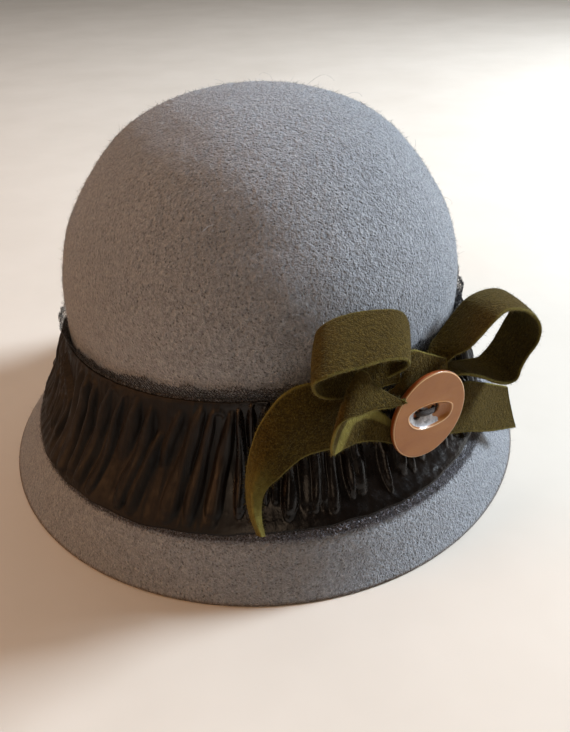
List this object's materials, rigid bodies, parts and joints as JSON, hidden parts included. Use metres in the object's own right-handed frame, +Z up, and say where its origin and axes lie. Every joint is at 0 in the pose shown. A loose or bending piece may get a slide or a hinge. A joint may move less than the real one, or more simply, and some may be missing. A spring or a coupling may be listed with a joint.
{
  "type": "cloche hat",
  "caption": "Felt cloche hat with a domed crown, a short flared brim, a ruched band over net, and a velvety felt bow held by a shell button.",
  "frame": {"origin": "centre of the space the hat stands on, at the level of the brim's resting edge", "axes": "+Z up through the crown; -Y toward the side that shows most of the band; +X toward the bow"},
  "size_m": [0.2396, 0.259, 0.1577],
  "materials": {
    "felt_grey": "brushed wool felt, matt, soft nap",
    "net_black": "fine black net with a faint sparkle",
    "satin_dark": "dark brown satin, soft gloss on the folds",
    "felt_olive": "olive velvety felt, matt, with paler cut edges",
    "button_shell": "polished warm tan shell",
    "thread_dark": "matt sewing thread"
  },
  "bodies": {
    "root": {"felt_hood": "felt_grey", "net_band": "net_black", "ruched_band": "satin_dark", "bow_loop_left": "felt_olive", "bow_tail_left": "felt_olive", "bow_fold_mid": "felt_olive", "bow_knot": "felt_olive", "bow_loop_right": "felt_olive", "bow_tail_right": "felt_olive", "button": "button_shell", "button_thread": "thread_dark"}
  },
  "joints": []
}
